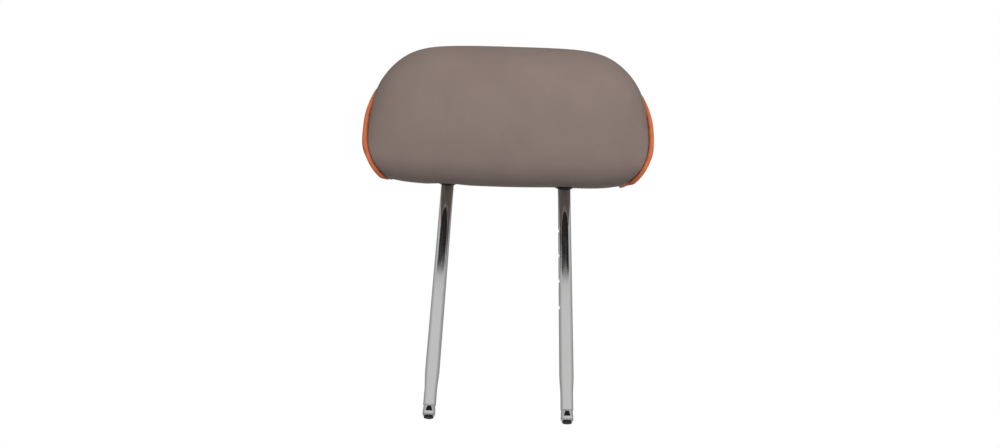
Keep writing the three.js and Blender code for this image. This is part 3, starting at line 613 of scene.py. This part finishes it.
chrome = bpy.data.materials.new("bright_chrome")
chrome.use_nodes = True
nodes, links = chrome.node_tree.nodes, chrome.node_tree.links
shader = nodes["Principled BSDF"]
shader.inputs["Metallic"].default_value = 1.0
position = nodes.new("ShaderNodeTexCoord").outputs["Object"]
stretch = nodes.new("ShaderNodeMapping")
stretch.inputs["Scale"].default_value = (1.0, 1.0, 0.05)
links.new(position, stretch.inputs["Vector"])
draw_lines = nodes.new("ShaderNodeTexNoise")
draw_lines.inputs["Scale"].default_value = 900.0
draw_lines.inputs["Detail"].default_value = 3.0
links.new(stretch.outputs["Vector"], draw_lines.inputs["Vector"])
haze = nodes.new("ShaderNodeMapRange")
haze.inputs["From Min"].default_value = 0.3
haze.inputs["From Max"].default_value = 0.7
haze.inputs["To Min"].default_value = 0.05
haze.inputs["To Max"].default_value = 0.11
links.new(draw_lines.outputs["Fac"], haze.inputs["Value"])
links.new(haze.outputs["Result"], shader.inputs["Roughness"])
plate = nodes.new("ShaderNodeValToRGB")
plate.color_ramp.elements[0].color = (0.76, 0.76, 0.755, 1)
plate.color_ramp.elements[1].color = (0.83, 0.83, 0.825, 1)
links.new(draw_lines.outputs["Fac"], plate.inputs["Fac"])
links.new(plate.outputs["Color"], shader.inputs["Base Color"])
posts.data.materials.clear()
posts.data.materials.append(chrome)
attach(posts, "root")
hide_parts("post_frame")

# ---------------------------------------------------------------- Post end plugs
# Black plugs pushed into the mouths of the posts, so that the cut ends don't scratch the guides. Each has
# a flat head with a rounded edge and a shallow dimple from its mould.
black = bpy.data.materials.new("black_plastic")
black.use_nodes = True
nodes, links = black.node_tree.nodes, black.node_tree.links
shader = nodes["Principled BSDF"]
position = nodes.new("ShaderNodeTexCoord").outputs["Object"]
moulded = nodes.new("ShaderNodeTexNoise")
moulded.inputs["Scale"].default_value = 2200.0
moulded.inputs["Detail"].default_value = 4.0
links.new(position, moulded.inputs["Vector"])
tone = nodes.new("ShaderNodeValToRGB")
tone.color_ramp.elements[0].color = (0.010, 0.0095, 0.009, 1)
tone.color_ramp.elements[1].color = (0.022, 0.020, 0.019, 1)
links.new(moulded.outputs["Fac"], tone.inputs["Fac"])
links.new(tone.outputs["Color"], shader.inputs["Base Color"])
matt = nodes.new("ShaderNodeMapRange")
matt.inputs["To Min"].default_value = 0.38
matt.inputs["To Max"].default_value = 0.58
links.new(moulded.outputs["Fac"], matt.inputs["Value"])
links.new(matt.outputs["Result"], shader.inputs["Roughness"])
bump = nodes.new("ShaderNodeBump")
bump.inputs["Strength"].default_value = 0.3
bump.inputs["Distance"].default_value = 0.00006
links.new(moulded.outputs["Fac"], bump.inputs["Height"])
links.new(bump.outputs["Normal"], shader.inputs["Normal"])

head = [(0.0, 0.0006), (0.0009, 0.0005), (0.0013, 0.00005), (0.0016, 0.0), (0.0034, 0.0)]
head += [
    (0.0034 + 0.0008 * math.sin(t), 0.0008 - 0.0008 * math.cos(t))
    for t in np.linspace(0, math.pi / 2, 6)[1:]
]
head += [(0.0042, 0.0016), (0.0032, 0.0016), (0.0032, 0.0114), (0.0026, 0.012), (0.0, 0.012)]
for name, sign in (("left", -1), ("right", 1)):
    vertices, faces = [], []
    for radius, z in head:
        for j in range(48):
            t = 2 * math.pi * j / 48
            vertices.append(
                (sign * POST_SPACING / 2 + radius * math.cos(t), radius * math.sin(t), z)
            )
    for i in range(len(head) - 1):
        for j in range(48):
            k = (j + 1) % 48
            faces.append((i * 48 + j, i * 48 + k, (i + 1) * 48 + k, (i + 1) * 48 + j))
    mesh = bpy.data.meshes.new(f"mouth_plug_{name}")
    mesh.from_pydata(vertices, [], faces)
    shaping = bmesh.new()
    shaping.from_mesh(mesh)
    bmesh.ops.remove_doubles(shaping, verts=shaping.verts, dist=1e-6)
    bmesh.ops.recalc_face_normals(shaping, faces=shaping.faces)
    shaping.to_mesh(mesh)
    shaping.free()
    mesh.shade_smooth()
    mesh.set_sharp_from_angle(angle=math.radians(45))
    mesh.materials.append(black)
    plug = bpy.data.objects.new(f"mouth_plug_{name}", mesh)
    scene.collection.objects.link(plug)
    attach(plug, "root")
    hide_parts(f"post_end_plug_{name}")

# ---------------------------------------------------------------- Post collars
# Black moulded collars where the posts enter the cushion: a slim oval flange that lies on the cover, with
# a rounded rim and a low lip round the post, on a sleeve inside that hugs the post.
for name, sign in (("left", -1), ("right", 1)):
    vertices, faces = [], []
    bore = POST_RADIUS + 0.0003
    # Each row: share of the way from the post's oval to the flange's rim, and depth below the cover.
    rows = [(0.0, 0.004), (0.0, -0.0010), (0.10, -0.0013), (0.28, -0.0013), (0.38, -0.0010)]
    rows += [(0.44, -0.0008), (0.62, -0.00075)]
    rows += [
        (0.62 + 0.38 * math.sin(t), -0.0002 - 0.00055 * math.cos(t))
        for t in np.linspace(0.3, math.pi / 2, 6)
    ]
    rows += [(0.97, -0.0001), (0.5, -0.0001), (0.5, 0.004)]
    for share, depth in rows:
        for j in range(64):
            t = 2 * math.pi * j / 64
            inner = np.array([bore * math.cos(t), bore / math.cos(LEAN) * math.sin(t)])
            outer = np.array([0.0088 * math.cos(t), 0.0102 * math.sin(t)])
            x, y = inner + (outer - inner) * share
            slide = depth * math.tan(LEAN) * max(0.0, 1 - share / 0.5)
            vertices.append((sign * POST_SPACING / 2 + x, y + slide, depth))
    total = len(rows)
    for i in range(total):
        k = (i + 1) % total
        for j in range(64):
            m = (j + 1) % 64
            faces.append((i * 64 + j, i * 64 + m, k * 64 + m, k * 64 + j))
    mesh = bpy.data.meshes.new(f"entry_collar_{name}")
    mesh.from_pydata(to_row(vertices).tolist(), [], faces)
    shaping = bmesh.new()
    shaping.from_mesh(mesh)
    bmesh.ops.recalc_face_normals(shaping, faces=shaping.faces)
    shaping.to_mesh(mesh)
    shaping.free()
    mesh.shade_smooth()
    mesh.set_sharp_from_angle(angle=math.radians(50))
    mesh.materials.append(black)
    collar = bpy.data.objects.new(f"entry_collar_{name}", mesh)
    scene.collection.objects.link(collar)
    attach(collar, "root")
    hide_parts(f"post_collar_{name}")

# ---------------------------------------------------------------- Slot stitches
# The cover's two free edges are folded in at the slot and sewn to the closing strips with heavy thread.
# One row of stitches shows on each side of the slot.
thread = bpy.data.materials.new("taupe_thread")
thread.use_nodes = True
nodes, links = thread.node_tree.nodes, thread.node_tree.links
shader = nodes["Principled BSDF"]
shader.inputs["Roughness"].default_value = 0.7
position = nodes.new("ShaderNodeTexCoord").outputs["Object"]
twist = nodes.new("ShaderNodeTexWave")
twist.inputs["Scale"].default_value = 900.0
twist.inputs["Distortion"].default_value = 2.0
links.new(position, twist.inputs["Vector"])
tone = nodes.new("ShaderNodeValToRGB")
tone.color_ramp.elements[0].color = (0.13, 0.10, 0.088, 1)
tone.color_ramp.elements[1].color = (0.20, 0.155, 0.136, 1)
links.new(twist.outputs["Fac"], tone.inputs["Fac"])
links.new(tone.outputs["Color"], shader.inputs["Base Color"])

bpy.context.view_layer.update()
finished = cover.evaluated_get(bpy.context.evaluated_depsgraph_get()).to_mesh()
skin = BVHTree.FromPolygons(
    [v.co.copy() for v in finished.vertices], [tuple(p.vertices) for p in finished.polygons]
)
up_face = Vector(leaning)
rows_mesh = bpy.data.meshes.new("stitch_rows")
points, edges = [], []
for offset in (-0.0055, 0.0055):
    first = len(points)
    for x in np.linspace(-0.108, 0.108, 109):
        start = Vector(to_row((x, SLOT_BACK + offset, -0.02)))
        hit = skin.ray_cast(start, up_face)[0]
        points.append(hit + up_face * 0.00008)
    edges += [(n, n + 1) for n in range(first, len(points) - 1)]
rows_mesh.from_pydata(points, edges, [])
stitches = bpy.data.objects.new("slot_stitches", rows_mesh)
scene.collection.objects.link(stitches)

tree = bpy.data.node_groups.new("stitch_row", "GeometryNodeTree")
made = tree.interface
made.new_socket("Geometry", in_out="INPUT", socket_type="NodeSocketGeometry")
pitch = made.new_socket("Stitch pitch", in_out="INPUT", socket_type="NodeSocketFloat")
size = made.new_socket("Stitch length", in_out="INPUT", socket_type="NodeSocketFloat")
gauge = made.new_socket("Thread radius", in_out="INPUT", socket_type="NodeSocketFloat")
made.new_socket("Geometry", in_out="OUTPUT", socket_type="NodeSocketGeometry")
entry = tree.nodes.new("NodeGroupInput")
leave = tree.nodes.new("NodeGroupOutput")
as_curve = tree.nodes.new("GeometryNodeMeshToCurve")
spaced = tree.nodes.new("GeometryNodeResampleCurve")
spaced.mode = "LENGTH"
bead = tree.nodes.new("GeometryNodeMeshUVSphere")
bead.inputs["Segments"].default_value = 8
bead.inputs["Rings"].default_value = 6
slim = tree.nodes.new("GeometryNodeTransform")
ratio = tree.nodes.new("ShaderNodeMath")
ratio.operation = "DIVIDE"
shape = tree.nodes.new("ShaderNodeCombineXYZ")
placed = tree.nodes.new("GeometryNodeInstanceOnPoints")
facing = tree.nodes.new("FunctionNodeAlignRotationToVector")
facing.axis = "X"
tangent = tree.nodes.new("GeometryNodeInputTangent")
real = tree.nodes.new("GeometryNodeRealizeInstances")
finish = tree.nodes.new("GeometryNodeSetMaterial")
finish.inputs["Material"].default_value = thread
smooth = tree.nodes.new("GeometryNodeSetShadeSmooth")
join = tree.links.new
join(entry.outputs["Geometry"], as_curve.inputs["Mesh"])
join(as_curve.outputs["Curve"], spaced.inputs["Curve"])
join(entry.outputs["Stitch pitch"], spaced.inputs["Length"])
join(entry.outputs["Thread radius"], bead.inputs["Radius"])
join(entry.outputs["Stitch length"], ratio.inputs[0])
join(entry.outputs["Thread radius"], ratio.inputs[1])
shape.inputs["Y"].default_value = shape.inputs["Z"].default_value = 1.0
half_ratio = tree.nodes.new("ShaderNodeMath")
half_ratio.operation = "MULTIPLY"
half_ratio.inputs[1].default_value = 0.5
join(ratio.outputs["Value"], half_ratio.inputs[0])
join(half_ratio.outputs["Value"], shape.inputs["X"])
join(bead.outputs["Mesh"], slim.inputs["Geometry"])
join(shape.outputs["Vector"], slim.inputs["Scale"])
join(spaced.outputs["Curve"], placed.inputs["Points"])
join(slim.outputs["Geometry"], placed.inputs["Instance"])
join(tangent.outputs["Tangent"], facing.inputs["Vector"])
join(facing.outputs["Rotation"], placed.inputs["Rotation"])
join(placed.outputs["Instances"], real.inputs["Geometry"])
join(real.outputs["Geometry"], smooth.inputs["Geometry"])
join(smooth.outputs["Geometry"], finish.inputs["Geometry"])
join(finish.outputs["Geometry"], leave.inputs["Geometry"])
sewing = stitches.modifiers.new("sewing", "NODES")
sewing.node_group = tree
sewing[pitch.identifier] = 0.0040
sewing[size.identifier] = 0.0033
sewing[gauge.identifier] = 0.00026
bpy.context.view_layer.update()
evaluated = stitches.evaluated_get(bpy.context.evaluated_depsgraph_get())
stitches.data = bpy.data.meshes.new_from_object(evaluated)
stitches.modifiers.clear()
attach(stitches, "root")

# ---------------------------------------------------------------- Closing strips
# Two hooked strips of black plastic, sewn to the cover's free edges, that snap together in the slot.
for name in ("closure_strip_front", "closure_strip_rear"):
    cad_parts[name].data.materials.clear()
    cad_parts[name].data.materials.append(black)

# ---------------------------------------------------------------- Foam, insert and screws
# Inside the cover: a moulded foam core round a ribbed plastic insert, whose two halves six zinc-plated
# screws clamp round the bent tube.
foam = bpy.data.materials.new("moulded_foam")
foam.use_nodes = True
nodes, links = foam.node_tree.nodes, foam.node_tree.links
shader = nodes["Principled BSDF"]
shader.inputs["Roughness"].default_value = 0.95
position = nodes.new("ShaderNodeTexCoord").outputs["Object"]
cells = nodes.new("ShaderNodeTexVoronoi")
cells.inputs["Scale"].default_value = 1400.0
links.new(position, cells.inputs["Vector"])
tone = nodes.new("ShaderNodeValToRGB")
tone.color_ramp.elements[0].color = (0.75, 0.68, 0.48, 1)
tone.color_ramp.elements[1].color = (0.62, 0.53, 0.34, 1)
links.new(cells.outputs["Distance"], tone.inputs["Fac"])
links.new(tone.outputs["Color"], shader.inputs["Base Color"])
bump = nodes.new("ShaderNodeBump")
bump.inputs["Strength"].default_value = 0.6
bump.inputs["Distance"].default_value = 0.0002
links.new(cells.outputs["Distance"], bump.inputs["Height"])
links.new(bump.outputs["Normal"], shader.inputs["Normal"])

grey = bpy.data.materials.new("grey_insert_plastic")
grey.use_nodes = True
nodes, links = grey.node_tree.nodes, grey.node_tree.links
shader = nodes["Principled BSDF"]
shader.inputs["Roughness"].default_value = 0.55
position = nodes.new("ShaderNodeTexCoord").outputs["Object"]
flow = nodes.new("ShaderNodeTexNoise")
flow.inputs["Scale"].default_value = 60.0
flow.inputs["Detail"].default_value = 6.0
links.new(position, flow.inputs["Vector"])
tone = nodes.new("ShaderNodeValToRGB")
tone.color_ramp.elements[0].color = (0.085, 0.09, 0.095, 1)
tone.color_ramp.elements[1].color = (0.12, 0.125, 0.13, 1)
links.new(flow.outputs["Fac"], tone.inputs["Fac"])
links.new(tone.outputs["Color"], shader.inputs["Base Color"])

zinc = bpy.data.materials.new("zinc_plated_steel")
zinc.use_nodes = True
nodes, links = zinc.node_tree.nodes, zinc.node_tree.links
shader = nodes["Principled BSDF"]
shader.inputs["Metallic"].default_value = 1.0
position = nodes.new("ShaderNodeTexCoord").outputs["Object"]
spangle = nodes.new("ShaderNodeTexNoise")
spangle.inputs["Scale"].default_value = 500.0
links.new(position, spangle.inputs["Vector"])
tone = nodes.new("ShaderNodeValToRGB")
tone.color_ramp.elements[0].color = (0.54, 0.54, 0.57, 1)
tone.color_ramp.elements[1].color = (0.66, 0.66, 0.67, 1)
links.new(spangle.outputs["Fac"], tone.inputs["Fac"])
links.new(tone.outputs["Color"], shader.inputs["Base Color"])
dull = nodes.new("ShaderNodeMapRange")
dull.inputs["To Min"].default_value = 0.25
dull.inputs["To Max"].default_value = 0.45
links.new(spangle.outputs["Fac"], dull.inputs["Value"])
links.new(dull.outputs["Result"], shader.inputs["Roughness"])

for name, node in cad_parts.items():
    if name.startswith("insert_screw"):
        finish = zinc
    elif name.startswith("insert_"):
        finish = grey
    elif name == "foam_core":
        finish = foam
    else:
        continue
    node.data.materials.clear()
    node.data.materials.append(finish)

# ---------------------------------------------------------------- Studio
# A pale floor below the camera, a white surround and soft lamps in front, behind and at each side.
# High up in front the surround is black for what is mirrored, which gives the chrome its dark band.
floor_mesh = bpy.data.meshes.new("floor")
floor_mesh.from_pydata(
    [(-40, -40, -0.26), (40, -40, -0.26), (40, 40, -0.26), (-40, 40, -0.26)], [], [(0, 1, 2, 3)]
)
floor = bpy.data.objects.new("floor", floor_mesh)
scene.collection.objects.link(floor)
paper = bpy.data.materials.new("floor_paper")
paper.use_nodes = True
nodes, links = paper.node_tree.nodes, paper.node_tree.links
sheet = nodes["Principled BSDF"]
sheet.inputs["Base Color"].default_value = (0.62, 0.62, 0.62, 1)
sheet.inputs["Roughness"].default_value = 0.9
glow = nodes.new("ShaderNodeEmission")
glow.inputs["Strength"].default_value = 0.98
whiter = nodes.new("ShaderNodeMath")
whiter.operation = "MULTIPLY"
whiter.inputs[1].default_value = 0.8
links.new(nodes.new("ShaderNodeLightPath").outputs["Is Camera Ray"], whiter.inputs[0])
mixed = nodes.new("ShaderNodeMixShader")
links.new(whiter.outputs["Value"], mixed.inputs["Fac"])
links.new(sheet.outputs["BSDF"], mixed.inputs[1])
links.new(glow.outputs["Emission"], mixed.inputs[2])
links.new(mixed.outputs["Shader"], nodes["Material Output"].inputs["Surface"])
floor_mesh.materials.append(paper)

world = bpy.data.worlds.new("white_surround")
scene.world = world
world.use_nodes = True
nodes, links = world.node_tree.nodes, world.node_tree.links
nodes.clear()
path = nodes.new("ShaderNodeLightPath")
seen = nodes.new("ShaderNodeBackground")
seen.inputs["Color"].default_value = (1, 1, 1, 1)
mirrored = nodes.new("ShaderNodeBackground")
mirrored.inputs["Color"].default_value = (1, 1, 1, 1)
# What metal mirrors is pale in front and darker behind, and black high up in front.
heading = nodes.new("ShaderNodeSeparateXYZ")
links.new(nodes.new("ShaderNodeTexCoord").outputs["Generated"], heading.inputs["Vector"])
fade = nodes.new("ShaderNodeMapRange")
fade.inputs["From Min"].default_value = -0.45
fade.inputs["From Max"].default_value = 0.6
fade.inputs["To Min"].default_value = 0.64
fade.inputs["To Max"].default_value = 0.30
links.new(heading.outputs["Y"], fade.inputs["Value"])
high = nodes.new("ShaderNodeMapRange")
high.interpolation_type = "SMOOTHSTEP"
high.inputs["From Min"].default_value = 0.416
high.inputs["From Max"].default_value = 0.424
links.new(heading.outputs["Z"], high.inputs["Value"])
ahead = nodes.new("ShaderNodeMapRange")
ahead.interpolation_type = "SMOOTHSTEP"
ahead.inputs["From Min"].default_value = -0.32
ahead.inputs["From Max"].default_value = -0.42
links.new(heading.outputs["Y"], ahead.inputs["Value"])
flag = nodes.new("ShaderNodeMath")
flag.operation = "MULTIPLY"
links.new(high.outputs["Result"], flag.inputs[0])
links.new(ahead.outputs["Result"], flag.inputs[1])
kept = nodes.new("ShaderNodeMapRange")
kept.inputs["To Min"].default_value = 1.0
kept.inputs["To Max"].default_value = 0.025
links.new(flag.outputs["Value"], kept.inputs["Value"])
level = nodes.new("ShaderNodeMath")
level.operation = "MULTIPLY"
links.new(fade.outputs["Result"], level.inputs[0])
links.new(kept.outputs["Result"], level.inputs[1])
links.new(level.outputs["Value"], mirrored.inputs["Strength"])
ambient = nodes.new("ShaderNodeBackground")
ambient.inputs["Color"].default_value = (1, 1, 1, 1)
ambient.inputs["Strength"].default_value = 0.26
either = nodes.new("ShaderNodeMixShader")
both = nodes.new("ShaderNodeMixShader")
sky = nodes.new("ShaderNodeOutputWorld")
links.new(path.outputs["Is Glossy Ray"], either.inputs["Fac"])
links.new(ambient.outputs["Background"], either.inputs[1])
links.new(mirrored.outputs["Background"], either.inputs[2])
links.new(path.outputs["Is Camera Ray"], both.inputs["Fac"])
links.new(either.outputs["Shader"], both.inputs[1])
links.new(seen.outputs["Background"], both.inputs[2])
links.new(both.outputs["Shader"], sky.inputs["Surface"])

for name, place, size, energy in (
    ("front_lamp", (0.16, -1.3, 0.09), 0.65, 12.3),
    ("left_lamp", (-1.3, 0.7, 0.4), 0.8, 0.4),
    ("right_lamp", (1.3, 0.6, 0.4), 0.8, 1.1),
    ("rear_lamp", (-0.3, 1.6, 0.8), 1.1, 13.0),
):
    lamp = bpy.data.objects.new(name, bpy.data.lights.new(name, "AREA"))
    lamp.data.shape = "DISK"
    lamp.data.size = size
    lamp.data.energy = energy
    lamp.visible_glossy = False
    lamp.location = place
    lamp.rotation_euler = (
        (Vector((0.0, -0.05, 0.28)) - Vector(place)).to_track_quat("-Z", "Y").to_euler()
    )
    scene.collection.objects.link(lamp)

scene.view_settings.view_transform = "Standard"

# ---------------------------------------------------------------- Finish
bpy.context.view_layer.update()
